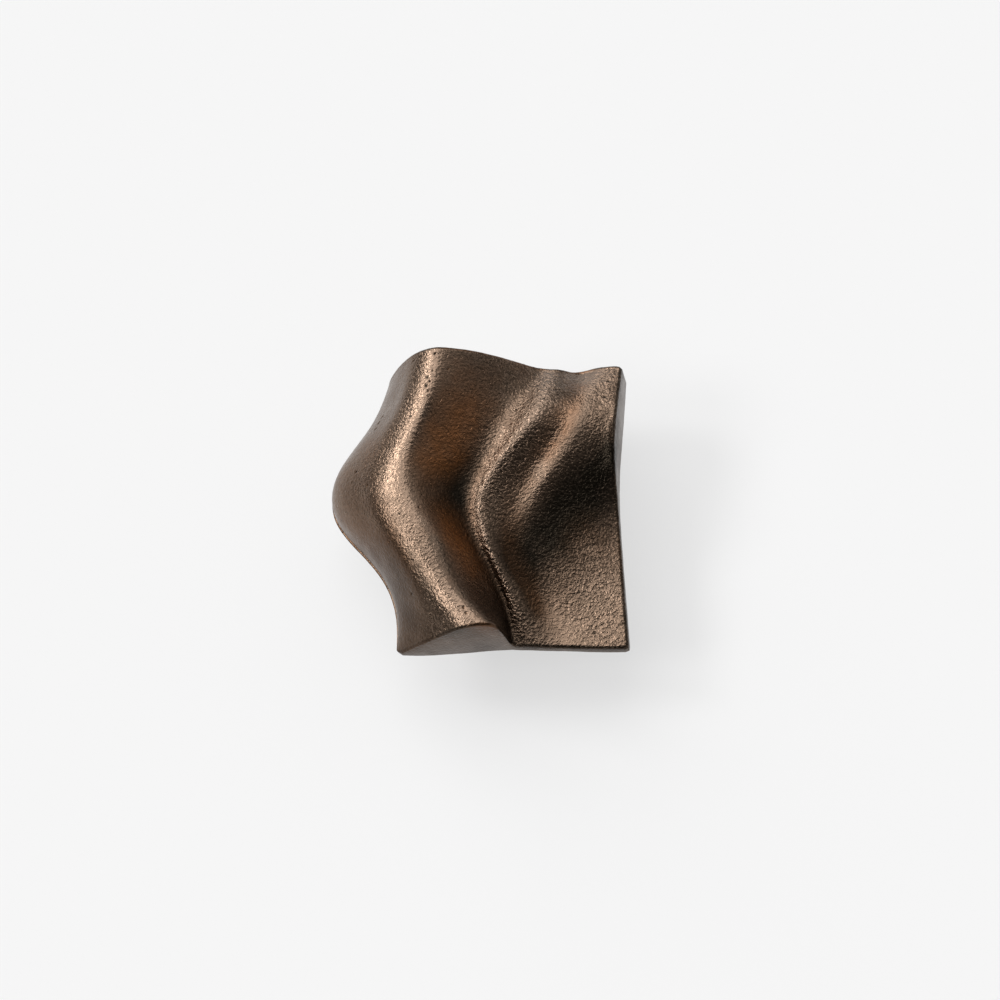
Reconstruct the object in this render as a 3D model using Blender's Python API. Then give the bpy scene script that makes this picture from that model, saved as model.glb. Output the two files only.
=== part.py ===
"""Cast bronze cabinet knob: a square block of folded metal on a round stem.

The front is a sheet of soft folds that bend like a draped cloth. It ends in a rounded rim, and
plain walls run from the rim back to a flat back. A stem with a wide fillet carries the block off
the door and holds a blind hole for the screw.

The knob stands on its stem: the origin is the middle of the stem's foot, +Z points away from the
door, +X to the knob's right and +Y to its top. Sizes are in millimetres.
"""

from math import pi, radians
from typing import NamedTuple

import bpy
import numpy as np

MM = 0.001

# Driving sizes of the block
STANDOFF = 9.0            # flat back of the block above the door
RIM_RADIUS = 0.5          # round between the front and the walls
RIM_SHARE = 0.45          # most that the rim's round may take of a thin edge
BACK_EDGE = 0.4           # chamfer between the walls and the flat back

# Driving sizes of the stem and its hole
STEM_RADIUS = 6.5
STEM_FILLET = 4.0         # round where the stem widens into the flat back
FOOT_CHAMFER = 0.4
HOLE_RADIUS = 1.65        # plain hole for an M4 thread
HOLE_CHAMFER = 0.5
HOLE_DEPTH = 12.0         # full bore, without the drill's cone
DRILL_ANGLE = 118.0       # point angle of the drill, degrees

# Fineness of the mesh
CELLS_PER_FOLD = 4
CELLS_PER_STATION = 5
RIM_STEPS = 3
FILLET_STEPS = 5

BRONZE_COLOUR = (0.19, 0.125, 0.085, 1.0)
BRONZE_ROUGHNESS = 0.42


class Fold(NamedTuple):
    """A line that runs down the front from the top wall to the bottom wall.

    across and height are its distance to the right of the knob's middle and its height above the
    flat back, at each station. top and bottom are where it ends, measured from the middle.
    """

    across: tuple
    height: tuple
    top: float
    bottom: float


# Where the stations lie between the top end (1), the middle (0) and the bottom end (-1)
STATIONS = (1.0, 0.67, 0.33, 0.0, -0.33, -0.67, -1.0)

# Fold lines of the front, from left to right
FOLDS = (
    # Left edge
    Fold((-14.9, -17.1, -21.3, -21.4, -16.9, -13.8, -13.5), (0.8, 0.8, 0.8, 0.8, 0.8, 0.8, 0.6), 18.3, -17.8),
    # Foot of the left flank
    Fold((-14.3, -16.5, -20.5, -20.6, -16.2, -13.1, -12.8), (3.8, 4.4, 4.5, 4.5, 4.6, 3.4, 1.4), 18.3, -18.1),
    # Middle of the left flank
    Fold((-12.2, -13.4, -16.8, -17.5, -14.2, -10.9, -9.6), (8.5, 8.8, 8.5, 8.2, 8.5, 7.3, 4.8), 18.3, -18.3),
    # Left shoulder of the first ridge
    Fold((-9.8, -11.2, -13.8, -14.9, -12.3, -9.4, -6.6), (11.9, 11.6, 10.9, 10.5, 10.3, 9.0, 7.4), 18.3, -18.3),
    # First ridge
    Fold((-7.2, -8.3, -10.9, -11.8, -9.9, -7.1, -3.9), (13.6, 13.1, 12.2, 11.6, 11.1, 10.1, 9.3), 18.3, -18.2),
    # Right shoulder of the first ridge
    Fold((-4.4, -5.9, -8.4, -9.3, -7.3, -4.7, -0.9), (13.1, 12.5, 11.6, 11.1, 10.7, 9.6, 9.6), 18.3, -18.1),
    # Right flank of the first ridge
    Fold((-0.2, -1.8, -4.6, -6.2, -4.8, -2.1, 0.8), (10.6, 9.8, 9.4, 8.8, 8.4, 6.8, 7.6), 18.3, -18.1),
    # First valley
    Fold((4.2, 2.1, -1.6, -3.9, -2.6, 0.1, 1.5), (6.1, 7.8, 7.9, 7.2, 6.1, 3.8, 3.0), 18.5, -18.1),
    # Left flank of the second ridge
    Fold((6.2, 4.6, 0.6, -2.4, -1.6, 0.9, 2.4), (4.9, 8.2, 8.1, 7.3, 6.0, 3.6, 1.9), 18.4, -18.2),
    # Second ridge
    Fold((8.4, 6.9, 2.6, -0.9, -0.6, 1.9, 4.0), (5.6, 8.8, 8.5, 7.5, 6.3, 3.9, 1.9), 17.8, -18.3),
    # Second valley
    Fold((10.5, 9.8, 6.2, 2.4, 1.2, 3.8, 6.3), (3.8, 7.8, 7.4, 6.3, 5.2, 3.0, 1.8), 18.1, -18.5),
    # Third ridge
    Fold((12.8, 12.1, 9.2, 5.1, 4.0, 6.2, 8.8), (4.2, 7.6, 7.5, 6.2, 4.5, 2.5, 1.8), 18.3, -18.7),
    # Slope down from the third ridge
    Fold((14.2, 13.7, 12.0, 7.9, 7.0, 8.8, 11.2), (4.8, 7.4, 6.9, 5.4, 3.8, 2.3, 1.8), 18.2, -18.9),
    # Low fan at the lower right
    Fold((15.3, 15.0, 14.1, 12.2, 12.0, 13.2, 13.8), (5.1, 7.3, 6.4, 4.0, 2.8, 2.1, 1.8), 18.1, -19.1),
    # Right edge
    Fold((16.1, 15.7, 15.2, 15.1, 15.4, 15.8, 16.2), (5.3, 7.3, 6.9, 2.9, 2.1, 2.1, 1.8), 17.9, -19.2),
)


def clear_scene():
    """Remove whatever objects the scene holds."""
    for thing in list(bpy.data.objects):
        bpy.data.objects.remove(thing)


def bronze():
    """Dark brown bronze with a satin cast skin."""
    material = bpy.data.materials.new("bronze")
    material.use_nodes = True
    shader = material.node_tree.nodes["Principled BSDF"]
    shader.inputs["Base Color"].default_value = BRONZE_COLOUR
    shader.inputs["Metallic"].default_value = 1.0
    shader.inputs["Roughness"].default_value = BRONZE_ROUGHNESS
    return material


def spline_weights(knots, at):
    """Weights that turn values at the knots into values of a natural cubic spline at other places.

    The second derivatives M at the knots solve the usual tridiagonal system, with M zero at both
    ends. Between two knots the curve is the cubic that has those values and derivatives.
    """
    knots = np.asarray(knots, dtype=float)
    count = len(knots)
    gaps = np.diff(knots)
    left = np.eye(count)
    right = np.zeros((count, count))
    inner = np.arange(1, count - 1)
    left[inner, inner - 1] = gaps[:-1]
    left[inner, inner] = 2.0 * (gaps[:-1] + gaps[1:])
    left[inner, inner + 1] = gaps[1:]
    right[inner, inner - 1] = 6.0 / gaps[:-1]
    right[inner, inner] = -6.0 / gaps[:-1] - 6.0 / gaps[1:]
    right[inner, inner + 1] = 6.0 / gaps[1:]
    second = np.linalg.solve(left, right)
    values = np.eye(count)

    span = np.clip(np.searchsorted(knots, at) - 1, 0, count - 2)
    gap = gaps[span][:, None]
    after = (at - knots[span])[:, None]
    before = gap - after
    curve = (second[span] * before**3 + second[span + 1] * after**3) / (6.0 * gap)
    curve += (values[span] / gap - second[span] * gap / 6.0) * before
    curve += (values[span + 1] / gap - second[span + 1] * gap / 6.0) * after
    return curve


def front_surface():
    """Grid of points on the folded front, rows from the bottom end up, columns from left to right.

    A point at (u, v) is a natural cubic spline in u through the folds, and each fold is a natural
    cubic spline in v through its stations.
    """
    stations = np.array(STATIONS[::-1])
    folds = np.arange(len(FOLDS), dtype=float)
    rows = np.linspace(stations[0], stations[-1], CELLS_PER_STATION * (len(STATIONS) - 1) + 1)
    columns = np.linspace(folds[0], folds[-1], CELLS_PER_FOLD * (len(FOLDS) - 1) + 1)
    down = spline_weights(stations, rows)
    over = spline_weights(folds, columns)

    across = np.array([fold.across[::-1] for fold in FOLDS]).T
    height = np.array([fold.height[::-1] for fold in FOLDS]).T
    top = over @ np.array([fold.top for fold in FOLDS])
    bottom = over @ np.array([fold.bottom for fold in FOLDS])
    up = np.maximum(rows, 0.0)[:, None] * top + np.maximum(-rows, 0.0)[:, None] * bottom
    return np.stack([down @ across @ over.T, up, down @ height @ over.T], axis=-1)


def border(grid):
    """Indices of a grid's border, counter-clockwise seen from the front."""
    rows, columns = grid.shape[:2]
    numbers = np.arange(rows * columns).reshape(rows, columns)
    sides = (numbers[0, :-1], numbers[:-1, -1], numbers[-1, :0:-1], numbers[:0:-1, 0])
    return np.concatenate(sides)


def outward(loop):
    """Unit directions that point out of a counter-clockwise loop, seen in plan."""
    along = np.roll(loop, -1, axis=0) - np.roll(loop, 1, axis=0)
    out = np.stack([along[:, 1], -along[:, 0]], axis=-1)
    return out / np.linalg.norm(out, axis=1, keepdims=True)


def ring(plan, height):
    """Join plan positions and heights to points, with one height for all where a number is given."""
    heights = np.broadcast_to(height, len(plan))
    return np.column_stack([plan, heights])


def block_rings(edge):
    """Rings from the front's border round the rim, down the walls and onto the flat back.

    The rim is a quarter round, which is smaller where the edge is thin. Heights count from the
    flat back here.
    """
    plan = edge[:, :2]
    out = outward(plan)
    radius = np.minimum(RIM_RADIUS, RIM_SHARE * (edge[:, 2] - BACK_EDGE))[:, None]
    rings = []
    for step in range(1, RIM_STEPS + 1):
        angle = 0.5 * pi * step / RIM_STEPS
        drop = radius[:, 0] * (1.0 - np.cos(angle))
        rings.append(ring(plan + out * radius * np.sin(angle), edge[:, 2] - drop))
    wall = plan + out * radius
    rings.append(ring(wall, BACK_EDGE))
    rings.append(ring(wall - out * BACK_EDGE, 0.0))
    return rings


def stem_profile():
    """Radius and height of the stem's turned outline, from the flat back to the end of the hole.

    Heights count from the foot. A quarter round widens the stem into the back.
    """
    profile = []
    for step in range(FILLET_STEPS + 1):
        angle = 0.5 * pi * step / FILLET_STEPS
        radius = STEM_RADIUS + STEM_FILLET * (1.0 - np.sin(angle))
        profile.append((radius, STANDOFF - STEM_FILLET * (1.0 - np.cos(angle))))
    profile.append((STEM_RADIUS, FOOT_CHAMFER))
    profile.append((STEM_RADIUS - FOOT_CHAMFER, 0.0))
    profile.append((HOLE_RADIUS + HOLE_CHAMFER, 0.0))
    profile.append((HOLE_RADIUS, HOLE_CHAMFER))
    profile.append((HOLE_RADIUS, HOLE_DEPTH))
    return profile


def knob_points():
    """Points of the whole knob: the front's grid, then one ring after another down to the hole.

    The block is centred on the stem by the middle of its outline.
    """
    grid = front_surface()
    edge_numbers = border(grid)
    rings = block_rings(grid.reshape(-1, 3)[edge_numbers])
    outline = np.concatenate([loop[:, :2] for loop in rings])
    middle = 0.5 * (outline.min(axis=0) + outline.max(axis=0))
    offset = np.array([-middle[0], -middle[1], STANDOFF])
    front = grid.reshape(-1, 3) + offset
    rings = [loop + offset for loop in rings]

    back = rings[-1][:, :2]
    direction = back / np.linalg.norm(back, axis=1, keepdims=True)
    rings += [ring(direction * radius, height) for radius, height in stem_profile()]
    tip = HOLE_DEPTH + HOLE_RADIUS / np.tan(radians(0.5 * DRILL_ANGLE))
    points = np.concatenate([front, *rings, [[0.0, 0.0, tip]]])
    return points, grid.shape[:2], edge_numbers, len(rings)


def knob_faces(shape, edge_numbers, ring_count):
    """Quads of the front's grid, a band of quads between neighbouring rings, and the hole's cone."""
    rows, columns = shape
    numbers = np.arange(rows * columns).reshape(rows, columns)
    corners = (numbers[:-1, :-1], numbers[:-1, 1:], numbers[1:, 1:], numbers[1:, :-1])
    faces = np.stack(corners, axis=-1).reshape(-1, 4).tolist()

    count = len(edge_numbers)
    upper = edge_numbers
    for number in range(ring_count):
        lower = rows * columns + number * count + np.arange(count)
        band = (upper, lower, np.roll(lower, -1), np.roll(upper, -1))
        faces += np.stack(band, axis=-1).tolist()
        upper = lower
    tip = rows * columns + ring_count * count
    cone = (upper, np.full(count, tip), np.roll(upper, -1))
    faces += np.stack(cone, axis=-1).tolist()
    return faces


def knob_body(material):
    """The cast knob: block, stem and screw hole in one piece."""
    points, shape, edge_numbers, ring_count = knob_points()
    mesh = bpy.data.meshes.new("knob_body")
    mesh.from_pydata((points * MM).tolist(), [], knob_faces(shape, edge_numbers, ring_count))
    mesh.validate()
    mesh.shade_smooth()
    mesh.set_sharp_from_angle(angle=radians(40.0))
    mesh.materials.append(material)
    body = bpy.data.objects.new("knob_body", mesh)
    bpy.context.scene.collection.objects.link(body)
    return body


clear_scene()
knob_body(bronze())
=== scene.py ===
"""Fine surface, bronze finish and studio for the folded cabinet knob, laid out as a Blender add-on.

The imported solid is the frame. The casting is worked out again here on a much finer grid, with its
cast grain, its pits and the thread in its stem, and it stands in for the plain solid.
"""

from math import cos, pi, radians, sin, tan

import bpy
import numpy as np
from bpy.props import FloatProperty, FloatVectorProperty, IntProperty, PointerProperty
from mathutils import Matrix, Vector


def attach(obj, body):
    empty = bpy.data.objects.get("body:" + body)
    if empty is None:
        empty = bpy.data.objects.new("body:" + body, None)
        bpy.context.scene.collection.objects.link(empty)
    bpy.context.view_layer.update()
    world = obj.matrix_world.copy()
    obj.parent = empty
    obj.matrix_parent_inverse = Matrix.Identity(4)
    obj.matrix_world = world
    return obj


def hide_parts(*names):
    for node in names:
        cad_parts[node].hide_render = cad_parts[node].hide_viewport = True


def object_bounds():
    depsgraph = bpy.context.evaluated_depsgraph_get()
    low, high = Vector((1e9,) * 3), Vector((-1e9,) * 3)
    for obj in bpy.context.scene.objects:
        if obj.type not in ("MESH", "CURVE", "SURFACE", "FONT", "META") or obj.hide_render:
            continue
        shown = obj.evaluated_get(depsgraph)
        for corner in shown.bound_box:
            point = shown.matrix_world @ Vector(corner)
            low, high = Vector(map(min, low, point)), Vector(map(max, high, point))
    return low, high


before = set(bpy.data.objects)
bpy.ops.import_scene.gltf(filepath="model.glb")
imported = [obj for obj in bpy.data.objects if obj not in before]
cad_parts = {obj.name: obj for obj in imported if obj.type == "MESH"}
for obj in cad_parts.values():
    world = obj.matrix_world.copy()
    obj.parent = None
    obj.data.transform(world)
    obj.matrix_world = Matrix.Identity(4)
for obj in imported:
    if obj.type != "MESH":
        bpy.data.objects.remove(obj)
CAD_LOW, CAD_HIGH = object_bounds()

bl_info = {
    "name": "Folded cabinet knob",
    "version": (1, 0, 0),
    "blender": (4, 5, 0),
    "location": "View3D > Sidebar > Knob",
    "description": "Builds a cast bronze cabinet knob with a draped front",
    "category": "Object",
}

NODE = "knob_body"
MM = 0.001

# Where the stations lie between the top end (1), the middle (0) and the bottom end (-1)
STATIONS = (1.0, 0.67, 0.33, 0.0, -0.33, -0.67, -1.0)

# Fold lines of the front, left to right, in millimetres: distance to the right of the middle at
# the stations, height over the flat back at the stations, top end, bottom end
FOLDS = (
    # Left edge
    ((-14.9, -17.1, -21.3, -21.4, -16.9, -13.8, -13.5), (0.8, 0.8, 0.8, 0.8, 0.8, 0.8, 0.6), 18.3, -17.8),
    # Foot of the left flank
    ((-14.3, -16.5, -20.5, -20.6, -16.2, -13.1, -12.8), (3.8, 4.4, 4.5, 4.5, 4.6, 3.4, 1.4), 18.3, -18.1),
    # Middle of the left flank
    ((-12.2, -13.4, -16.8, -17.5, -14.2, -10.9, -9.6), (8.5, 8.8, 8.5, 8.2, 8.5, 7.3, 4.8), 18.3, -18.3),
    # Left shoulder of the first ridge
    ((-9.8, -11.2, -13.8, -14.9, -12.3, -9.4, -6.6), (11.9, 11.6, 10.9, 10.5, 10.3, 9.0, 7.4), 18.3, -18.3),
    # First ridge
    ((-7.2, -8.3, -10.9, -11.8, -9.9, -7.1, -3.9), (13.6, 13.1, 12.2, 11.6, 11.1, 10.1, 9.3), 18.3, -18.2),
    # Right shoulder of the first ridge
    ((-4.4, -5.9, -8.4, -9.3, -7.3, -4.7, -0.9), (13.1, 12.5, 11.6, 11.1, 10.7, 9.6, 9.6), 18.3, -18.1),
    # Right flank of the first ridge
    ((-0.2, -1.8, -4.6, -6.2, -4.8, -2.1, 0.8), (10.6, 9.8, 9.4, 8.8, 8.4, 6.8, 7.6), 18.3, -18.1),
    # First valley
    ((4.2, 2.1, -1.6, -3.9, -2.6, 0.1, 1.5), (6.1, 7.8, 7.9, 7.2, 6.1, 3.8, 3.0), 18.5, -18.1),
    # Left flank of the second ridge
    ((6.2, 4.6, 0.6, -2.4, -1.6, 0.9, 2.4), (4.9, 8.2, 8.1, 7.3, 6.0, 3.6, 1.9), 18.4, -18.2),
    # Second ridge
    ((8.4, 6.9, 2.6, -0.9, -0.6, 1.9, 4.0), (5.6, 8.8, 8.5, 7.5, 6.3, 3.9, 1.9), 17.8, -18.3),
    # Second valley
    ((10.5, 9.8, 6.2, 2.4, 1.2, 3.8, 6.3), (3.8, 7.8, 7.4, 6.3, 5.2, 3.0, 1.8), 18.1, -18.5),
    # Third ridge
    ((12.8, 12.1, 9.2, 5.1, 4.0, 6.2, 8.8), (4.2, 7.6, 7.5, 6.2, 4.5, 2.5, 1.8), 18.3, -18.7),
    # Slope down from the third ridge
    ((14.2, 13.7, 12.0, 7.9, 7.0, 8.8, 11.2), (4.8, 7.4, 6.9, 5.4, 3.8, 2.3, 1.8), 18.2, -18.9),
    # Low fan at the lower right
    ((15.3, 15.0, 14.1, 12.2, 12.0, 13.2, 13.8), (5.1, 7.3, 6.4, 4.0, 2.8, 2.1, 1.8), 18.1, -19.1),
    # Right edge
    ((16.1, 15.7, 15.2, 15.1, 15.4, 15.8, 16.2), (5.3, 7.3, 6.9, 2.9, 2.1, 2.1, 1.8), 17.9, -19.2),
)

# Skin along the same fold lines: patina with painted shade at the stations (0 rubbed, 1 full), the painted
# warm reflection in that patina at the stations (0 black, 1 orange brown) and strength of the cast grain
SKIN = (
    # Left edge
    ((0.2, 0.2, 0.2, 0.2, 0.3, 0.3, 0.2), (0.3, 0.3, 0.3, 0.3, 0.2, 0.1, 0.1), 0.6),
    # Foot of the left flank
    ((0.2, 0.2, 0.2, 0.2, 0.6, 0.7, 0.5), (0.3, 0.3, 0.4, 0.4, 0.2, 0.1, 0.1), 0.6),
    # Middle of the left flank
    ((0.2, 0.1, 0.2, 0.2, 0.6, 0.6, 0.5), (0.3, 0.3, 0.4, 0.4, 0.2, 0.1, 0.1), 0.7),
    # Left shoulder of the first ridge
    ((0.0, 0.0, 0.2, 0.3, 0.6, 0.4, 0.2), (0.2, 0.2, 0.2, 0.2, 0.2, 0.1, 0.0), 0.7),
    # First ridge
    ((0.0, 0.0, 0.0, 0.0, 0.0, 0.0, 0.0), (0.0, 0.0, 0.0, 0.0, 0.0, 0.0, 0.0), 0.7),
    # Right shoulder of the first ridge
    ((0.0, 0.3, 0.5, 0.4, 0.1, 0.0, 0.0), (0.3, 1.0, 1.0, 0.2, 0.7, 0.7, 0.3), 0.7),
    # Right flank of the first ridge
    ((0.1, 0.4, 0.8, 1.0, 1.0, 0.6, 0.3), (0.3, 0.9, 0.8, 0.1, 0.9, 0.4, 0.1), 1.0),
    # First valley
    ((0.0, 0.1, 0.5, 0.9, 0.8, 0.8, 0.8), (0.3, 0.2, 0.1, 0.0, 0.2, 0.1, 0.0), 1.2),
    # Left flank of the second ridge
    ((0.0, 0.0, 0.0, 0.2, 0.2, 0.4, 0.5), (0.2, 0.2, 0.2, 0.2, 0.2, 0.1, 0.0), 1.4),
    # Second ridge
    ((0.0, 0.0, 0.0, 0.0, 0.0, 0.1, 0.2), (0.0, 0.0, 0.0, 0.0, 0.0, 0.0, 0.0), 1.5),
    # Second valley
    ((0.0, 0.2, 0.3, 0.3, 1.0, 1.0, 0.2), (0.5, 0.9, 0.6, 0.3, 0.1, 0.1, 0.0), 1.0),
    # Third ridge
    ((0.0, 0.2, 0.3, 0.2, 1.0, 0.6, 0.0), (0.1, 0.1, 0.1, 0.1, 0.0, 0.1, 0.0), 0.8),
    # Slope down from the third ridge
    ((0.0, 0.0, 0.4, 1.0, 0.9, 0.2, 0.0), (0.0, 0.0, 0.0, 0.0, 0.0, 0.1, 0.0), 1.3),
    # Low fan at the lower right
    ((0.0, 0.1, 0.9, 1.0, 0.5, 0.0, 0.0), (0.0, 0.0, 0.0, 0.0, 0.1, 0.0, 0.0), 1.6),
    # Right edge
    ((0.0, 0.0, 1.0, 0.6, 0.2, 0.1, 0.1), (0.0, 0.0, 0.0, 0.0, 0.1, 0.0, 0.0), 1.4),
)

# Casting pits that stand out, in millimetres from the middle: to the right, up, radius
PITS = (
    (-6.7, 17.6, 0.15), (-5.1, 15.7, 0.12), (-7.1, 15.4, 0.13), (-7.9, 14.6, 0.17), (-7.5, 14.0, 0.14),
    (-8.0, 13.5, 0.20), (-7.7, 12.7, 0.13), (-9.8, 17.6, 0.16), (-10.2, 9.7, 0.13), (-15.1, 11.2, 0.16),
    (-14.7, 12.0, 0.20), (-15.5, 10.3, 0.13), (-16.0, 1.4, 0.13), (-15.2, 0.6, 0.12), (-10.6, -12.9, 0.13),
    (-3.5, -16.0, 0.17), (-3.1, -16.8, 0.14), (12.3, -17.3, 0.14), (8.8, -13.2, 0.13), (-13.2, -6.4, 0.13),
    (-17.9, 4.2, 0.12), (14.9, 15.9, 0.18), (14.5, 13.2, 0.15), (-18.1, -4.4, 0.22), (-9.1, -2.6, 0.12),
)

# Depth of those pits, and patina with painted shade in their middle, more than full so that it reaches their
# brims
PIT_DEPTH = 0.16 * MM
PIT_PATINA_AND_SHADE = 1.6

# Lamps: name, azimuth and elevation in degrees, strength, degrees across, and their distance
LAMPS = (
    ("Key", 157.0, 44.0, 0.35, 18.0),
    ("Top", 112.0, 64.0, 0.44, 50.0),
    ("Above", 118.0, 20.0, 0.45, 44.0),
    ("Right", 60.0, 42.0, 0.12, 50.0),
    ("Side", 12.0, 40.0, 0.06, 50.0),
    ("Left", 195.0, 44.0, 0.31, 22.0),
)
LAMP_DISTANCE = 0.5

# Half of the floor's side
FLOOR_HALF = 3.0

# The photograph's side in pixels, the way from the knob to the camera, the place in the knob that
# stands for it, in millimetres, and how far above it the photograph's middle lies, in pixels
PHOTO_SIDE = 1000.0
TOWARDS_CAMERA = (0.14, -0.42, 1.0)
LOOKED_AT = (2.6, 0.3, 9.0)
MIDDLE_ABOVE = 18.0
SENSOR_WIDTH = 36.0

# Steps round the rim, down the walls, round the edge of the back and round the stem's fillet
RIM_STEPS = 5
WALL_STEPS = 2
BACK_EDGE_STEPS = 3
FILLET_STEPS = 8

# Least patina with painted shade on the rim, and patina with painted shade and grain strength on the walls,
# the back and the stem
RIM_PATINA_AND_SHADE = 0.75
WALL_PATINA_AND_SHADE = 0.5
WALL_GRAIN = 0.5

# How often the grid is averaged with its neighbours to tell crests from hollows, how far a full
# crest stands out of that average, and where the lighter, rubbed bronze with its painted highlight starts and
# is full
RELIEF_ROUNDS = 60
RELIEF_DEPTH = 0.16 * MM
RUBBED_FROM = 0.55
RUBBED_FULL = 0.95

# How much the slow tone sways the patina with its painted shade and the roughness, and how much rougher the
# patina and painted shade are
TONE_IN_PATINA_AND_SHADE = 0.8
TONE_IN_ROUGHNESS = 0.2
PATINA_AND_SHADE_ROUGHNESS = 0.1

# Brings the noise's peaks to about 1
NOISE_GAIN = 1.6

# Scattered fine pits: how far their brim and floor lie from the middle of a cell, and the random
# red of a cell from which it starts to have a pit and has a full one
PIT_BRIM = 0.14
PIT_FLOOR = 0.05
PITTED_FROM = 0.55
PITTED_FULL = 0.8

# Height of the wrinkles from which grit starts and is full
GRIT_FROM = 0.35
GRIT_FULL = 0.65

# Turned bronze: roughness, and the spacing, wobble and depth of the rings that the tool left
TURNED_ROUGHNESS = 0.3
TOOL_RINGS = 1.6
TOOL_WOBBLE = 0.4
TOOL_DEPTH = 0.01 * MM

# The thread's fineness, and the point of the drill in degrees
THREAD_SIDES = 48
STEPS_PER_TURN = 8
DRILL_ANGLE = 118.0

# Edges that fold by more than this many degrees are shaded sharp
SHARP_ANGLE = 50.0

# The most of an edge's height that the rim's radius takes
RIM_SHARE = 0.45

# How far the stem's columns lean from the angles of the head's outline to an even spacing
EVEN_SHARE = 0.3


class KnobShape(bpy.types.PropertyGroup):
    """Sizes of the casting's fine surface."""

    standoff: FloatProperty(
        name="Standoff", description="Flat back above the door", default=9.0 * MM, unit="LENGTH")
    rim_radius: FloatProperty(
        name="Rim radius", description="Round between the front and the walls", default=0.5 * MM,
        unit="LENGTH")
    back_edge: FloatProperty(
        name="Back edge", description="Round between the walls and the back", default=0.4 * MM, unit="LENGTH")
    stem_radius: FloatProperty(
        name="Stem radius", description="Radius of the stem", default=6.5 * MM, unit="LENGTH")
    stem_fillet: FloatProperty(
        name="Stem fillet", description="Round where the stem meets the back", default=4.0 * MM,
        unit="LENGTH")
    foot_chamfer: FloatProperty(
        name="Foot chamfer", description="Chamfer round the stem's foot", default=0.4 * MM, unit="LENGTH")
    hole_radius: FloatProperty(
        name="Hole radius", description="Crest radius of the thread", default=1.65 * MM, unit="LENGTH")
    hole_depth: FloatProperty(
        name="Hole depth", description="Depth of the threaded hole", default=12.0 * MM, unit="LENGTH")
    hole_chamfer: FloatProperty(
        name="Hole chamfer", description="Chamfer at the hole's mouth", default=0.5 * MM, unit="LENGTH")
    thread_pitch: FloatProperty(
        name="Thread pitch", description="Rise of the thread in a turn", default=0.7 * MM, unit="LENGTH")
    thread_depth: FloatProperty(
        name="Thread depth", description="Depth of the thread's groove", default=0.35 * MM, unit="LENGTH")
    cells_per_fold: IntProperty(
        name="Cells per fold", description="Grid cells between two fold lines", default=20, min=4)
    cells_per_station: IntProperty(
        name="Cells per station", description="Grid cells between two stations", default=38, min=4)
    swell_depth: FloatProperty(
        name="Swell depth", description="Depth of the casting's slow unevenness", default=0.06 * MM,
        unit="LENGTH")
    swell_size: FloatProperty(
        name="Swell size", description="Size of the casting's slow unevenness", default=3.0 * MM,
        unit="LENGTH")
    grain_depth: FloatProperty(
        name="Grain depth", description="Depth of the cast grain", default=0.04 * MM, unit="LENGTH")
    grain_size: FloatProperty(
        name="Grain size", description="Size of the cast grain", default=0.65 * MM, unit="LENGTH")
    seed: IntProperty(
        name="Seed", description="Picks one of many like castings", default=7)


class BronzeFinish(bpy.types.PropertyGroup):
    """Colours and gloss of the bronze."""

    body_colour: FloatVectorProperty(
        name="Bronze", description="Bronze on the flanks", subtype="COLOR", size=3,
        default=(0.19, 0.13, 0.092))
    # Rubbed bronze on the crests, made lighter also to paint their highlight
    rubbed_and_highlight_colour: FloatVectorProperty(
        name="Crests", description="Rubbed bronze on the ridges", subtype="COLOR", size=3,
        default=(0.215, 0.152, 0.112))
    # Painted reflection: the warm orange brown that the lit flank of the next ridge throws into the valleys
    painted_reflection_colour: FloatVectorProperty(
        name="Warm bronze", description="Bronze that glows in the valleys", subtype="COLOR", size=3,
        default=(0.32, 0.125, 0.042))
    # Dark colour of the patina with painted shade in the hollows, the pits and between the grains
    patina_and_shade_colour: FloatVectorProperty(
        name="Hollows", description="Dark patina in the valleys", subtype="COLOR", size=3,
        default=(0.023, 0.018, 0.013))
    turned_colour: FloatVectorProperty(
        name="Turned foot", description="Bare bronze where it is turned", subtype="COLOR", size=3,
        default=(0.62, 0.44, 0.27))
    roughness: FloatProperty(
        name="Roughness", description="Roughness of the cast skin", subtype="FACTOR", min=0.0, max=1.0,
        default=0.28)
    grain_bump: FloatProperty(
        name="Grain bump", description="Depth of the finest grain", default=0.11 * MM, unit="LENGTH")
    # Patina and painted shade left in the low parts between the grains
    grain_stain_and_shade: FloatProperty(
        name="Grain stain", description="Patina left between the grains", subtype="FACTOR", min=0.0,
        max=1.0, default=0.32)


class KnobStudio(bpy.types.PropertyGroup):
    """Camera, lamps and floor."""

    px_per_mm: FloatProperty(
        name="Scale", description="Photograph pixels to a millimetre of the knob", default=7.7)
    camera_distance: FloatProperty(
        name="Camera distance", description="Camera to knob", default=0.6, unit="LENGTH")
    floor_colour: FloatVectorProperty(
        name="Floor", description="Colour of the floor", subtype="COLOR", size=3, default=(0.25, 0.25, 0.25))
    floor_glow: FloatProperty(
        name="Floor glow", description="White added where the floor is seen, which keeps its shadow pale",
        subtype="FACTOR", min=0.0, max=1.0, default=0.62)
    world_strength: FloatProperty(
        name="Room light", description="Strength of the even room light", default=0.08)


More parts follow.
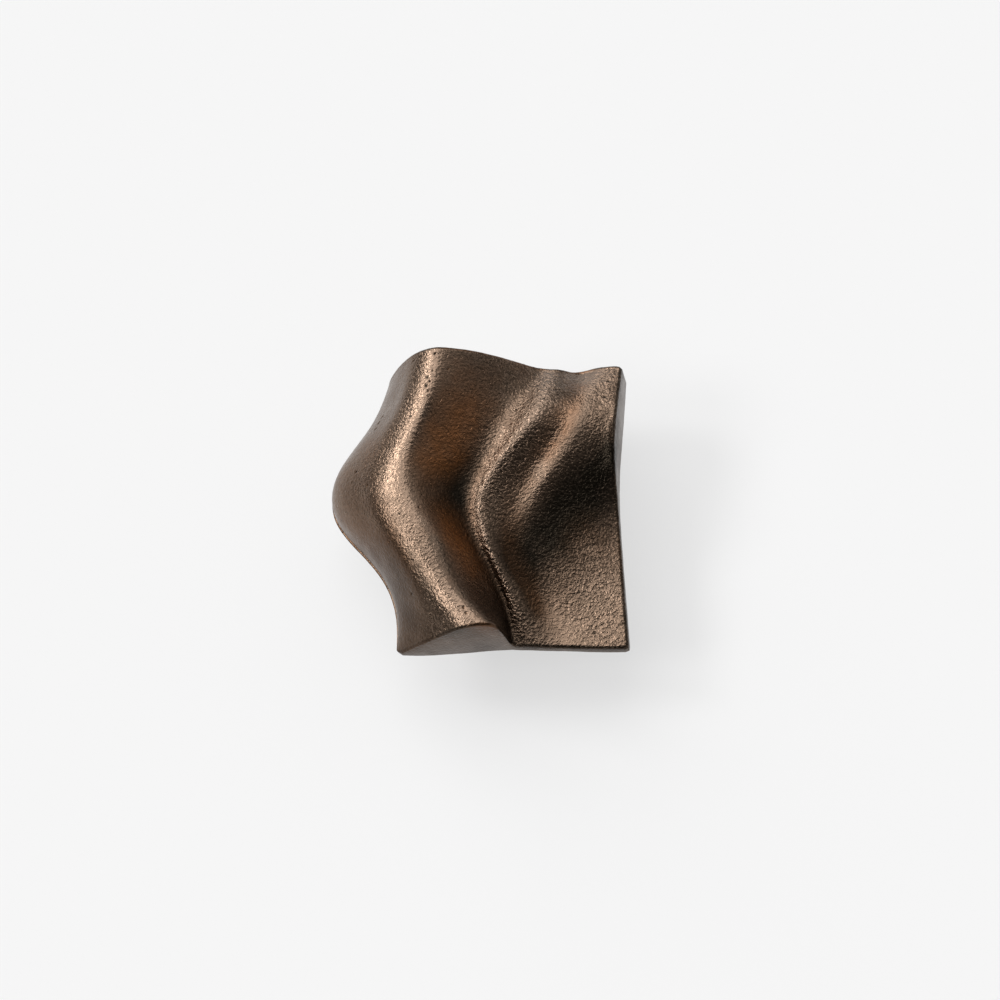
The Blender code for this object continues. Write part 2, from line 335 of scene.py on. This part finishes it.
def spline_weights(knots, at):
    """Weights that turn values at the knots into values of a natural cubic spline at other places.

    The second derivatives M at the knots solve the usual tridiagonal system, with M zero at both
    ends. Between two knots the curve is the cubic that has those values and derivatives.
    """
    knots = np.asarray(knots, dtype=float)
    count = len(knots)
    gaps = np.diff(knots)
    left = np.eye(count)
    right = np.zeros((count, count))
    inner = np.arange(1, count - 1)
    left[inner, inner - 1] = gaps[:-1]
    left[inner, inner] = 2.0 * (gaps[:-1] + gaps[1:])
    left[inner, inner + 1] = gaps[1:]
    right[inner, inner - 1] = 6.0 / gaps[:-1]
    right[inner, inner] = -6.0 / gaps[:-1] - 6.0 / gaps[1:]
    right[inner, inner + 1] = 6.0 / gaps[1:]
    second = np.linalg.solve(left, right)
    values = np.eye(count)

    span = np.clip(np.searchsorted(knots, at) - 1, 0, count - 2)
    gap = gaps[span][:, None]
    after = (at - knots[span])[:, None]
    before = gap - after
    curve = (second[span] * before**3 + second[span + 1] * after**3) / (6.0 * gap)
    curve += (values[span] / gap - second[span] * gap / 6.0) * before
    curve += (values[span + 1] / gap - second[span + 1] * gap / 6.0) * after
    return curve


def grid_weights(shape):
    """Spline weights of the grid's rows over the stations and its columns over the folds, and the rows."""
    stations = np.array(STATIONS[::-1])
    folds = np.arange(len(FOLDS), dtype=float)
    rows = np.linspace(stations[0], stations[-1], shape.cells_per_station * (len(STATIONS) - 1) + 1)
    columns = np.linspace(folds[0], folds[-1], shape.cells_per_fold * (len(FOLDS) - 1) + 1)
    return spline_weights(stations, rows), spline_weights(folds, columns), rows


def front_surface(shape):
    """Grid of points on the folded front, in metres, rows from the bottom up, columns to the right.

    A point at (u, v) is a natural cubic spline in u through the folds, and each fold is a natural
    cubic spline in v through its stations.
    """
    down, over, rows = grid_weights(shape)
    across = np.array([fold[0][::-1] for fold in FOLDS]).T
    height = np.array([fold[1][::-1] for fold in FOLDS]).T
    top = over @ np.array([fold[2] for fold in FOLDS])
    bottom = over @ np.array([fold[3] for fold in FOLDS])
    up = np.maximum(rows, 0.0)[:, None] * top + np.maximum(-rows, 0.0)[:, None] * bottom
    return np.stack([down @ across @ over.T, up, down @ height @ over.T], axis=-1) * MM


def front_skin(shape):
    """Patina with painted shade, painted reflection and grain strength on the grid, each from 0 up, by the
    same splines as the front.
    """
    down, over, rows = grid_weights(shape)
    patina_and_shade = down @ np.array([skin[0][::-1] for skin in SKIN]).T @ over.T
    painted_reflection = down @ np.array([skin[1][::-1] for skin in SKIN]).T @ over.T
    grain = np.broadcast_to(over @ np.array([skin[2] for skin in SKIN]), patina_and_shade.shape)
    return [np.clip(values, 0.0, None).ravel() for values in (patina_and_shade, painted_reflection, grain)]


def crests_and_hollows(grid):
    """How far each grid point stands out of its neighbourhood: 0.5 on a plain, 1 on a crest, 0 in a hollow.

    The neighbourhood is the grid averaged many times with its neighbours, and the distance to it is
    measured along the normal.
    """
    smooth = grid.copy()
    for _ in range(RELIEF_ROUNDS):
        smooth[1:-1] = 0.25 * (smooth[:-2] + 2.0 * smooth[1:-1] + smooth[2:])
        smooth[:, 1:-1] = 0.25 * (smooth[:, :-2] + 2.0 * smooth[:, 1:-1] + smooth[:, 2:])
    normal = np.cross(np.gradient(grid, axis=1), np.gradient(grid, axis=0))
    normal /= np.linalg.norm(normal, axis=2, keepdims=True)
    out = np.sum((grid - smooth) * normal, axis=2)
    return np.clip(0.5 + 0.5 * out / RELIEF_DEPTH, 0.0, 1.0).ravel()


def pitting(front):
    """How deep each front point lies in one of the casting pits, from 0 outside to 1 in the middle of a pit.

    A pit is the bell curve exp(-(distance / radius)^2) round the front point that lies nearest to
    its place in plan.
    """
    share = np.zeros(len(front))
    for right, up, radius in PITS:
        middle = front[np.argmin(np.hypot(front[:, 0] - right * MM, front[:, 1] - up * MM))]
        away = np.linalg.norm(front - middle, axis=1)
        share = np.maximum(share, np.exp(-(away / (radius * MM)) ** 2))
    return share


def border(shape):
    """Indices of a grid's border, counter-clockwise seen from the front."""
    rows, columns = shape
    numbers = np.arange(rows * columns).reshape(rows, columns)
    sides = (numbers[0, :-1], numbers[:-1, -1], numbers[-1, :0:-1], numbers[:0:-1, 0])
    return np.concatenate(sides)


def outward(loop):
    """Unit directions that point out of a counter-clockwise loop, seen in plan."""
    along = np.roll(loop, -1, axis=0) - np.roll(loop, 1, axis=0)
    out = np.stack([along[:, 1], -along[:, 0]], axis=-1)
    return out / np.linalg.norm(out, axis=1, keepdims=True)


def ring(plan, height):
    """Join plan positions and heights to points, with one height for all where a number is given."""
    return np.column_stack([plan, np.broadcast_to(height, len(plan))])


def block_rings(edge, shape):
    """Rings from the front's border round the rim, down the walls and onto the flat back.

    The rim is a quarter round, smaller where the edge is thin, and so is the edge of the back.
    """
    plan = edge[:, :2]
    out = outward(plan)
    radius = np.minimum(shape.rim_radius, RIM_SHARE * (edge[:, 2] - shape.back_edge))[:, None]
    rings = []
    for angle in np.linspace(0.0, 0.5 * pi, RIM_STEPS + 1)[1:]:
        height = edge[:, 2] - radius[:, 0] * (1.0 - np.cos(angle))
        rings.append(ring(plan + out * radius * np.sin(angle), height))
    wall = plan + out * radius
    rim_foot = edge[:, 2] - radius[:, 0]
    for share in np.linspace(0.0, 1.0, WALL_STEPS + 1)[1:]:
        rings.append(ring(wall, rim_foot + (shape.back_edge - rim_foot) * share))
    for angle in np.linspace(0.0, 0.5 * pi, BACK_EDGE_STEPS + 1)[1:]:
        inset = shape.back_edge * (1.0 - np.cos(angle))
        rings.append(ring(wall - out * inset, shape.back_edge * (1.0 - np.sin(angle))))
    return rings


def stem_directions(back):
    """Directions of the stem's columns, one to each point of the back's outline, in plan.

    The angles follow those of the outline, never turn back where it has a corner and lean a little
    towards an even spacing, so that no two columns meet.
    """
    angle = np.unwrap(np.arctan2(back[:, 1], back[:, 0]))
    angle = np.maximum.accumulate(angle)
    even = angle[0] + np.linspace(0.0, 2.0 * pi, len(back), endpoint=False)
    angle = (1.0 - EVEN_SHARE) * angle + EVEN_SHARE * even
    return np.stack([np.cos(angle), np.sin(angle)], axis=-1)


def stem_profile(shape):
    """Radius and height of the stem's turned outline, from the flat back to the foot's inner edge."""
    profile = []
    for angle in np.linspace(0.0, 0.5 * pi, FILLET_STEPS + 1):
        radius = shape.stem_radius + shape.stem_fillet * (1.0 - np.sin(angle))
        profile.append((radius, shape.standoff - shape.stem_fillet * (1.0 - np.cos(angle))))
    profile.append((shape.stem_radius, shape.foot_chamfer))
    profile.append((shape.stem_radius - shape.foot_chamfer, 0.0))
    return profile


def thread_rings(shape):
    """Rings of the threaded hole from its mouth to its end.

    The wall's radius at angle a and height z is the hole's radius plus a groove: a triangle wave of
    the phase z / pitch - a / turn, which fades in over the first turn and out over the last.
    """
    angle = np.linspace(0.0, 2.0 * pi, THREAD_SIDES, endpoint=False)
    direction = np.stack([np.cos(angle), np.sin(angle)], axis=-1)
    rings = [ring(direction * (shape.hole_radius + shape.hole_chamfer), 0.0)]
    start = shape.hole_chamfer
    turns = (shape.hole_depth - start) / shape.thread_pitch
    for height in np.linspace(start, shape.hole_depth, int(turns * STEPS_PER_TURN) + 1):
        phase = height / shape.thread_pitch - angle / (2.0 * pi)
        groove = 1.0 - np.abs(2.0 * (phase - np.floor(phase)) - 1.0)
        from_ends = min(height - start, shape.hole_depth - height)
        fade = min(1.0, from_ends / shape.thread_pitch)
        radius = shape.hole_radius + shape.thread_depth * groove * max(fade, 0.0)
        rings.append(ring(direction * radius[:, None], height))
    return rings


def gradient_noise(points, seed):
    """Smooth noise between about -1 and 1 at points in space.

    Every corner of the unit lattice has a seeded direction. The noise is the blend of the corners'
    dot products with the offset from each corner, by a curve that is flat at both ends.
    """
    rng = np.random.default_rng(seed)
    table = rng.permutation(256)
    slopes = rng.normal(size=(256, 3))
    slopes /= np.linalg.norm(slopes, axis=1, keepdims=True)
    cell = np.floor(points).astype(int)
    local = points - cell
    blend = local**3 * (local * (local * 6.0 - 15.0) + 10.0)
    total = np.zeros(len(points))
    for corner in np.ndindex(2, 2, 2):
        at = (cell + corner) & 255
        pick = table[(table[(table[at[:, 0]] + at[:, 1]) & 255] + at[:, 2]) & 255]
        weight = np.prod(np.where(np.array(corner) == 1, blend, 1.0 - blend), axis=1)
        total += weight * np.sum(slopes[pick] * (local - corner), axis=1)
    return NOISE_GAIN * total


def vertex_normals(points, quads):
    """Unit normals at the points: the sum of the cross products of the diagonals of their quads."""
    first = points[quads[:, 2]] - points[quads[:, 0]]
    second = points[quads[:, 3]] - points[quads[:, 1]]
    facing = np.cross(first, second)
    normals = np.zeros_like(points)
    for corner in range(4):
        np.add.at(normals, quads[:, corner], facing)
    length = np.linalg.norm(normals, axis=1, keepdims=True)
    return normals / np.maximum(length, 1e-18)


def bands(first, rings_start, count, ring_count):
    """Quads between neighbouring rings, the first of which has its own numbers."""
    starts = rings_start + np.arange(ring_count)[:, None] * count + np.arange(count)
    loops = np.vstack([first[None, :], starts]) if first is not None else starts
    upper, lower = loops[:-1], loops[1:]
    quads = np.stack([upper, lower, np.roll(lower, -1, axis=1), np.roll(upper, -1, axis=1)], axis=-1)
    return quads.reshape(-1, 4)


def cast_skin(points, quads, strength, shape):
    """Push the cast surface in along its normals by slow swells and fine grain, never out."""
    normals = vertex_normals(points, quads)
    swell = 0.5 + 0.5 * gradient_noise(points / shape.swell_size, shape.seed)
    grain = 0.5 + 0.5 * gradient_noise(points / shape.grain_size, shape.seed + 1)
    fine = 0.5 + 0.5 * gradient_noise(points / (0.5 * shape.grain_size), shape.seed + 2)
    depth = shape.swell_depth * swell + shape.grain_depth * strength * (grain + 0.5 * fine)
    return points - normals * depth[:, None]


def casting_mesh(shape):
    """The whole casting as one closed mesh: front, rim, walls, back, stem, foot and threaded hole.

    Gives its points and faces, how many of the faces are cast and not turned, and the numbers of
    its skin at the points.
    """
    grid = front_surface(shape)
    grid_shape = grid.shape[:2]
    edge_numbers = border(grid_shape)
    front = grid.reshape(-1, 3)
    rings = block_rings(front[edge_numbers], shape)
    outline = np.concatenate([loop[:, :2] for loop in rings])
    middle = 0.5 * (outline.min(axis=0) + outline.max(axis=0))
    offset = np.array([-middle[0], -middle[1], shape.standoff])
    rings = [loop + offset for loop in rings]
    back = rings[-1][:, :2]
    direction = stem_directions(back)
    rings += [ring(direction * radius, height) for radius, height in stem_profile(shape)]
    count = len(edge_numbers)
    cast_points = np.concatenate([front + offset, *rings])

    rows, columns = grid_shape
    numbers = np.arange(rows * columns).reshape(rows, columns)
    corners = (numbers[:-1, :-1], numbers[:-1, 1:], numbers[1:, 1:], numbers[1:, :-1])
    front_quads = np.stack(corners, axis=-1).reshape(-1, 4)
    ring_quads = bands(edge_numbers, rows * columns, count, len(rings))
    quads = np.concatenate([front_quads, ring_quads])

    on_front = front_skin(shape)
    on_rings = [np.tile(values[edge_numbers], len(rings)) for values in on_front]
    patina_and_shade, painted_reflection, grain = [np.concatenate(pair) for pair in zip(on_front, on_rings)]
    # The rim and the walls get patina with painted shade
    rim = slice(len(front), len(front) + RIM_STEPS * count)
    patina_and_shade[rim] = np.maximum(patina_and_shade[rim], RIM_PATINA_AND_SHADE)
    walls = slice(len(front) + RIM_STEPS * count, None)
    patina_and_shade[walls] = WALL_PATINA_AND_SHADE
    painted_reflection[walls] = 0.0
    grain[walls] = WALL_GRAIN
    relief = np.full(len(cast_points), 0.5)
    relief[:len(front)] = crests_and_hollows(grid)
    pits = np.zeros(len(cast_points))
    pits[:len(front)] = pitting(front)
    skinned = cast_skin(cast_points, quads, grain, shape)
    skinned -= vertex_normals(cast_points, quads) * pits[:, None] * PIT_DEPTH
    # Patina and painted shade in the casting pits
    patina_and_shade = np.maximum(patina_and_shade, PIT_PATINA_AND_SHADE * pits)
    painted_reflection *= 1.0 - pits
    turned_from = rows * columns + (len(rings) - 2) * count
    fade = np.ones(len(cast_points))
    fade[turned_from:] = 0.0
    points = cast_points + (skinned - cast_points) * fade[:, None]

    hole = thread_rings(shape)
    hole_start = len(points)
    hole_quads = bands(None, hole_start, THREAD_SIDES, len(hole))
    tip_height = shape.hole_depth + shape.hole_radius / tan(radians(0.5 * DRILL_ANGLE))
    tip = hole_start + len(hole) * THREAD_SIDES
    points = np.concatenate([points, *hole, [[0.0, 0.0, tip_height]]])

    foot = foot_faces(direction, turned_from + count, hole_start)
    last = hole_start + (len(hole) - 1) * THREAD_SIDES + np.arange(THREAD_SIDES)
    cone = np.stack([last, np.full(THREAD_SIDES, tip), np.roll(last, -1)], axis=-1)
    faces = quads.tolist() + hole_quads.tolist() + foot + cone.tolist()
    cast_faces = len(quads) - count
    skin = {"patina_and_shade": patina_and_shade, "painted_reflection": painted_reflection, "grain": grain, "relief": relief}
    return points, faces, cast_faces, skin


def foot_faces(direction, outer_start, inner_start):
    """Flat faces of the foot's ring, each from a side of the hole's mouth to the outer points near it."""
    count = len(direction)
    angle = np.arctan2(direction[:, 1], direction[:, 0])
    side = np.floor(np.mod(angle / (2.0 * pi) * THREAD_SIDES, THREAD_SIDES)).astype(int)
    first = int(np.argmax((side == 0) & (np.roll(side, 1) != 0)))
    order = (first + np.arange(count)) % count
    faces = []
    for number in range(THREAD_SIDES):
        following = (number + 1) % THREAD_SIDES
        members = order[side[order] == number]
        next_members = order[side[order] == following]
        outer = [int(outer_start + k) for k in members] + [int(outer_start + next_members[0])]
        faces.append([inner_start + following, inner_start + number, *outer])
    return faces


def new_material(name):
    """An empty node material with its Principled shader and output."""
    material = bpy.data.materials.new(name)
    material.use_nodes = True
    return material, material.node_tree, material.node_tree.nodes["Principled BSDF"]


def add_node(tree, kind, **values):
    """A node of that kind in the tree, with its settings, and its sockets set by name."""
    node = tree.nodes.new(kind)
    for name, value in values.items():
        if name in node.inputs:
            node.inputs[name].default_value = value
        else:
            setattr(node, name, value)
    return node


def link_math(tree, operation, first, second, third=None, clamp=False):
    """The value of a maths node; each operand may be a socket or a number."""
    node = add_node(tree, "ShaderNodeMath", operation=operation, use_clamp=clamp)
    for place, value in enumerate((first, second, third)):
        if isinstance(value, bpy.types.NodeSocket):
            tree.links.new(value, node.inputs[place])
        elif value is not None:
            node.inputs[place].default_value = value
    return node.outputs["Value"]


def smooth_range(tree, value, low, high):
    """0 up to low, 1 from high on and a smooth step between them."""
    node = add_node(tree, "ShaderNodeMapRange", interpolation_type="SMOOTHSTEP")
    node.inputs["From Min"].default_value = low
    node.inputs["From Max"].default_value = high
    tree.links.new(value, node.inputs["Value"])
    return node.outputs["Result"]


def grain_group():
    """Cast grain at a position in millimetres: its height, its pits, its grit and a slow tone."""
    tree = bpy.data.node_groups.new("Cast grain", "ShaderNodeTree")
    tree.interface.new_socket("Position", in_out="INPUT", socket_type="NodeSocketVector")
    for name, value in (("Wrinkles per mm", 2.9), ("Pits per mm", 1.1)):
        socket = tree.interface.new_socket(name, in_out="INPUT", socket_type="NodeSocketFloat")
        socket.default_value = value
    for name in ("Height", "Pits", "Grit", "Tone"):
        tree.interface.new_socket(name, in_out="OUTPUT", socket_type="NodeSocketFloat")
    into = add_node(tree, "NodeGroupInput")
    out = add_node(tree, "NodeGroupOutput")

    wrinkles = add_node(tree, "ShaderNodeTexNoise", Detail=1.0, Roughness=0.4, Distortion=0.7)
    tree.links.new(into.outputs["Position"], wrinkles.inputs["Vector"])
    tree.links.new(into.outputs["Wrinkles per mm"], wrinkles.inputs["Scale"])
    tone = add_node(tree, "ShaderNodeTexNoise", Scale=0.3, Detail=3.0, Roughness=0.55)
    tree.links.new(into.outputs["Position"], tone.inputs["Vector"])
    warp = add_node(tree, "ShaderNodeTexNoise", Scale=0.9, Detail=2.0)
    tree.links.new(into.outputs["Position"], warp.inputs["Vector"])
    bend = add_node(tree, "ShaderNodeVectorMath", operation="MULTIPLY_ADD")
    bend.inputs[1].default_value = (0.8, 0.8, 0.8)
    tree.links.new(warp.outputs["Color"], bend.inputs[0])
    tree.links.new(into.outputs["Position"], bend.inputs[2])
    cells = add_node(tree, "ShaderNodeTexVoronoi", feature="F1", Randomness=1.0)
    tree.links.new(bend.outputs["Vector"], cells.inputs["Vector"])
    tree.links.new(into.outputs["Pits per mm"], cells.inputs["Scale"])
    pits = smooth_range(tree, cells.outputs["Distance"], PIT_BRIM, PIT_FLOOR)
    split = add_node(tree, "ShaderNodeSeparateColor")
    tree.links.new(cells.outputs["Color"], split.inputs["Color"])
    pitted = smooth_range(tree, split.outputs["Red"], PITTED_FROM, PITTED_FULL)
    pits = link_math(tree, "MULTIPLY", pits, pitted)
    grit = smooth_range(tree, wrinkles.outputs["Fac"], GRIT_FROM, GRIT_FULL)
    height = link_math(tree, "MULTIPLY_ADD", pits, -1.0, wrinkles.outputs["Fac"])
    tree.links.new(height, out.inputs["Height"])
    tree.links.new(pits, out.inputs["Pits"])
    tree.links.new(grit, out.inputs["Grit"])
    tree.links.new(tone.outputs["Fac"], out.inputs["Tone"])
    return tree


def position_in_mm(tree):
    """Object coordinates turned into millimetres."""
    coordinate = add_node(tree, "ShaderNodeTexCoord")
    scale = add_node(tree, "ShaderNodeVectorMath", operation="SCALE")
    scale.inputs["Scale"].default_value = 1.0 / MM
    tree.links.new(coordinate.outputs["Object"], scale.inputs[0])
    return scale.outputs["Vector"]


def mixed(tree, factor, first, second):
    """A colour that goes from first to second with the factor; each may be a socket or a colour.

    A Mix node set to colours has them at its inputs 6 and 7 and its output 2.
    """
    mix = add_node(tree, "ShaderNodeMix", data_type="RGBA")
    sockets = {"Factor": mix.inputs[0], "A": mix.inputs[6], "B": mix.inputs[7]}
    for name, value in (("Factor", factor), ("A", first), ("B", second)):
        if isinstance(value, bpy.types.NodeSocket):
            tree.links.new(value, sockets[name])
        else:
            sockets[name].default_value = value
    return mix.outputs[2]


def attribute(tree, name):
    """A number kept at the mesh's points under that name."""
    return add_node(tree, "ShaderNodeAttribute", attribute_name=name).outputs["Fac"]


def cast_bronze(finish, grain):
    """Satin cast bronze: rubbed and lighter on the crests as a painted highlight, patina with painted shade
    in the hollows and a painted warm reflection on some valley flanks, with grain and pits.
    """
    material, tree, shader = new_material("Cast bronze")
    node = add_node(tree, "ShaderNodeGroup")
    node.node_tree = grain
    tree.links.new(position_in_mm(tree), node.inputs["Position"])

    # Rubbed bronze and painted highlight on the crests
    crest = smooth_range(tree, attribute(tree, "relief"), RUBBED_FROM, RUBBED_FULL)
    uneven = link_math(tree, "MULTIPLY_ADD", node.outputs["Tone"], TONE_IN_PATINA_AND_SHADE, -0.5 * TONE_IN_PATINA_AND_SHADE)
    # Patina with painted shade: real patina in the hollows, and dark painted where slopes lie in shade,
    # swayed by the slow tone
    patina_and_shade = link_math(tree, "ADD", attribute(tree, "patina_and_shade"), uneven, clamp=True)
    low_grit = link_math(tree, "SUBTRACT", 1.0, node.outputs["Grit"])
    # Patina and painted shade in the low parts between the grains
    stained_and_shaded = link_math(tree, "MULTIPLY", low_grit, attribute(tree, "grain"))
    stained_and_shaded = link_math(tree, "MULTIPLY", stained_and_shaded, finish.grain_stain_and_shade, clamp=True)
    dark = (*finish.patina_and_shade_colour, 1.0)
    colour = mixed(tree, crest, (*finish.body_colour, 1.0), (*finish.rubbed_and_highlight_colour, 1.0))
    # Painted reflection of the next ridge, warm orange brown, in the dark of the patina and painted shade
    patina_shade_and_reflection = mixed(tree, attribute(tree, "painted_reflection"), dark, (*finish.painted_reflection_colour, 1.0))
    colour = mixed(tree, patina_and_shade, colour, patina_shade_and_reflection)
    colour = mixed(tree, stained_and_shaded, colour, dark)
    # Patina and painted shade in the fine pits
    colour = mixed(tree, node.outputs["Pits"], colour, dark)
    tree.links.new(colour, shader.inputs["Base Color"])
    shader.inputs["Metallic"].default_value = 1.0

    smoothest = finish.roughness - 0.5 * TONE_IN_ROUGHNESS
    spread = link_math(tree, "MULTIPLY_ADD", node.outputs["Tone"], TONE_IN_ROUGHNESS, smoothest)
    rough = link_math(tree, "MULTIPLY_ADD", patina_and_shade, PATINA_AND_SHADE_ROUGHNESS, spread, clamp=True)
    tree.links.new(rough, shader.inputs["Roughness"])

    height = link_math(tree, "MULTIPLY", node.outputs["Height"], attribute(tree, "grain"))
    bump = add_node(tree, "ShaderNodeBump")
    bump.inputs["Distance"].default_value = finish.grain_bump
    bump.inputs["Strength"].default_value = 1.0
    tree.links.new(height, bump.inputs["Height"])
    tree.links.new(bump.outputs["Normal"], shader.inputs["Normal"])
    return material


def turned_bronze(finish):
    """Bare turned bronze on the foot and in the thread, with fine rings from the tool."""
    material, tree, shader = new_material("Turned bronze")
    position = position_in_mm(tree)
    rings = add_node(tree, "ShaderNodeTexWave", wave_type="RINGS", rings_direction="Z")
    rings.inputs["Scale"].default_value = TOOL_RINGS
    rings.inputs["Distortion"].default_value = TOOL_WOBBLE
    tree.links.new(position, rings.inputs["Vector"])
    colour = mixed(tree, rings.outputs["Fac"], (*finish.turned_colour, 1.0), (*finish.body_colour, 1.0))
    tree.links.new(colour, shader.inputs["Base Color"])
    shader.inputs["Metallic"].default_value = 1.0
    shader.inputs["Roughness"].default_value = TURNED_ROUGHNESS
    bump = add_node(tree, "ShaderNodeBump")
    bump.inputs["Distance"].default_value = TOOL_DEPTH
    tree.links.new(rings.outputs["Fac"], bump.inputs["Height"])
    tree.links.new(bump.outputs["Normal"], shader.inputs["Normal"])
    return material


class KNOB_OT_casting(bpy.types.Operator):
    """Build the folded bronze casting with its stem and threaded hole"""

    bl_idname = "knob.casting"
    bl_label = "Casting"

    def execute(self, context):
        shape = context.scene.knob_shape
        finish = context.scene.knob_finish
        points, faces, cast_faces, skin = casting_mesh(shape)
        # The finer grid may bulge a few hundredths of a millimetre out of the plain solid's box
        points = np.clip(points, np.array(CAD_LOW), np.array(CAD_HIGH))
        mesh = bpy.data.meshes.new("casting")
        mesh.from_pydata(points.tolist(), [], faces)
        mesh.shade_smooth()
        mesh.set_sharp_from_angle(angle=radians(SHARP_ANGLE))
        for name, values in skin.items():
            padded = np.zeros(len(points))
            padded[:len(values)] = values
            mesh.attributes.new(name, "FLOAT", "POINT").data.foreach_set("value", padded)
        slots = np.ones(len(faces), dtype=np.int32)
        slots[:cast_faces] = 0
        mesh.materials.append(cast_bronze(finish, grain_group()))
        mesh.materials.append(turned_bronze(finish))
        mesh.polygons.foreach_set("material_index", slots)
        casting = bpy.data.objects.new("casting", mesh)
        context.scene.collection.objects.link(casting)
        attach(casting, "root")
        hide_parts(NODE)
        return {"FINISHED"}


def camera_axes(direction):
    """Right, up and back directions of a camera that looks along -direction with +Y upright."""
    back = Vector(direction).normalized()
    right = Vector((0.0, 1.0, 0.0)).cross(back).normalized()
    return right, back.cross(right), back


class KNOB_OT_studio(bpy.types.Operator):
    """Set up the camera, the lamps and the pale floor"""

    bl_idname = "knob.studio"
    bl_label = "Studio"

    def execute(self, context):
        studio = context.scene.knob_studio
        scene = context.scene
        floor_mesh = bpy.data.meshes.new("floor")
        corners = [(FLOOR_HALF * x, FLOOR_HALF * y, 0.0) for x, y in ((-1, -1), (1, -1), (1, 1), (-1, 1))]
        floor_mesh.from_pydata(corners, [], [(0, 1, 2, 3)])
        floor = bpy.data.objects.new("floor", floor_mesh)
        scene.collection.objects.link(floor)
        material, tree, shader = new_material("Pale floor")
        shader.inputs["Base Color"].default_value = (*studio.floor_colour, 1.0)
        shader.inputs["Roughness"].default_value = 0.9
        shader.inputs["Specular IOR Level"].default_value = 0.0
        shader.inputs["Emission Color"].default_value = (1.0, 1.0, 1.0, 1.0)
        path = add_node(tree, "ShaderNodeLightPath")
        rays = [path.outputs[f"Is {kind} Ray"] for kind in ("Camera", "Glossy", "Transmission")]
        seen = link_math(tree, "ADD", rays[0], rays[1], clamp=True)
        seen = link_math(tree, "ADD", seen, rays[2], clamp=True)
        glow = link_math(tree, "MULTIPLY", seen, studio.floor_glow)
        tree.links.new(glow, shader.inputs["Emission Strength"])
        floor_mesh.materials.append(material)

        world = bpy.data.worlds.new("Studio")
        world.use_nodes = True
        background = world.node_tree.nodes["Background"]
        background.inputs["Color"].default_value = (1.0, 1.0, 1.0, 1.0)
        background.inputs["Strength"].default_value = studio.world_strength
        scene.world = world

        for lamp in LAMPS:
            add_sun(scene, *lamp)

        right, up, back = camera_axes(TOWARDS_CAMERA)
        target = Vector(LOOKED_AT) * MM + up * (MIDDLE_ABOVE / studio.px_per_mm) * MM
        data = bpy.data.cameras.new("Camera")
        data.sensor_width = SENSOR_WIDTH
        frame_width = PHOTO_SIDE / studio.px_per_mm * MM
        data.lens = data.sensor_width * studio.camera_distance / frame_width
        data.clip_start = 0.01
        camera = bpy.data.objects.new("Camera", data)
        scene.collection.objects.link(camera)
        turn = Matrix((right, up, back)).transposed()
        camera.matrix_world = Matrix.Translation(target + back * studio.camera_distance) @ turn.to_4x4()
        scene.camera = camera
        scene.view_settings.view_transform = "Standard"
        return {"FINISHED"}


def add_sun(scene, name, azimuth, elevation, strength, angle):
    """A distant, soft lamp.

    The azimuth turns from the right towards the top of the photograph, the elevation rises from the
    wall, and at a strength of 1 the lamp alone shows a white wall that faces it as white.
    """
    turn = Vector((cos(radians(azimuth)), sin(radians(azimuth)), 0.0)) * cos(radians(elevation))
    direction = turn + Vector((0.0, 0.0, sin(radians(elevation))))
    data = bpy.data.lights.new(name, "SUN")
    data.energy = pi * strength
    data.angle = radians(angle)
    lamp = bpy.data.objects.new(name, data)
    lamp.rotation_mode = "QUATERNION"
    lamp.rotation_quaternion = direction.to_track_quat("Z", "Y")
    lamp.location = direction.normalized() * LAMP_DISTANCE
    scene.collection.objects.link(lamp)


class KNOB_PT_panel(bpy.types.Panel):
    """The knob's steps in the sidebar"""

    bl_label = "Folded knob"
    bl_idname = "KNOB_PT_panel"
    bl_space_type = "VIEW_3D"
    bl_region_type = "UI"
    bl_category = "Knob"

    def draw(self, context):
        for operator in OPERATORS:
            self.layout.operator(operator.bl_idname)


OPERATORS = (KNOB_OT_casting, KNOB_OT_studio)
CLASSES = (KnobShape, BronzeFinish, KnobStudio, *OPERATORS, KNOB_PT_panel)


def register():
    for cls in CLASSES:
        bpy.utils.register_class(cls)
    bpy.types.Scene.knob_shape = PointerProperty(type=KnobShape)
    bpy.types.Scene.knob_finish = PointerProperty(type=BronzeFinish)
    bpy.types.Scene.knob_studio = PointerProperty(type=KnobStudio)


def unregister():
    for name in ("knob_shape", "knob_finish", "knob_studio"):
        delattr(bpy.types.Scene, name)
    for cls in reversed(CLASSES):
        bpy.utils.unregister_class(cls)


def main():
    """Build every piece and the studio."""
    register()
    bpy.ops.knob.casting()
    bpy.ops.knob.studio()


if __name__ == "__main__":
    main()
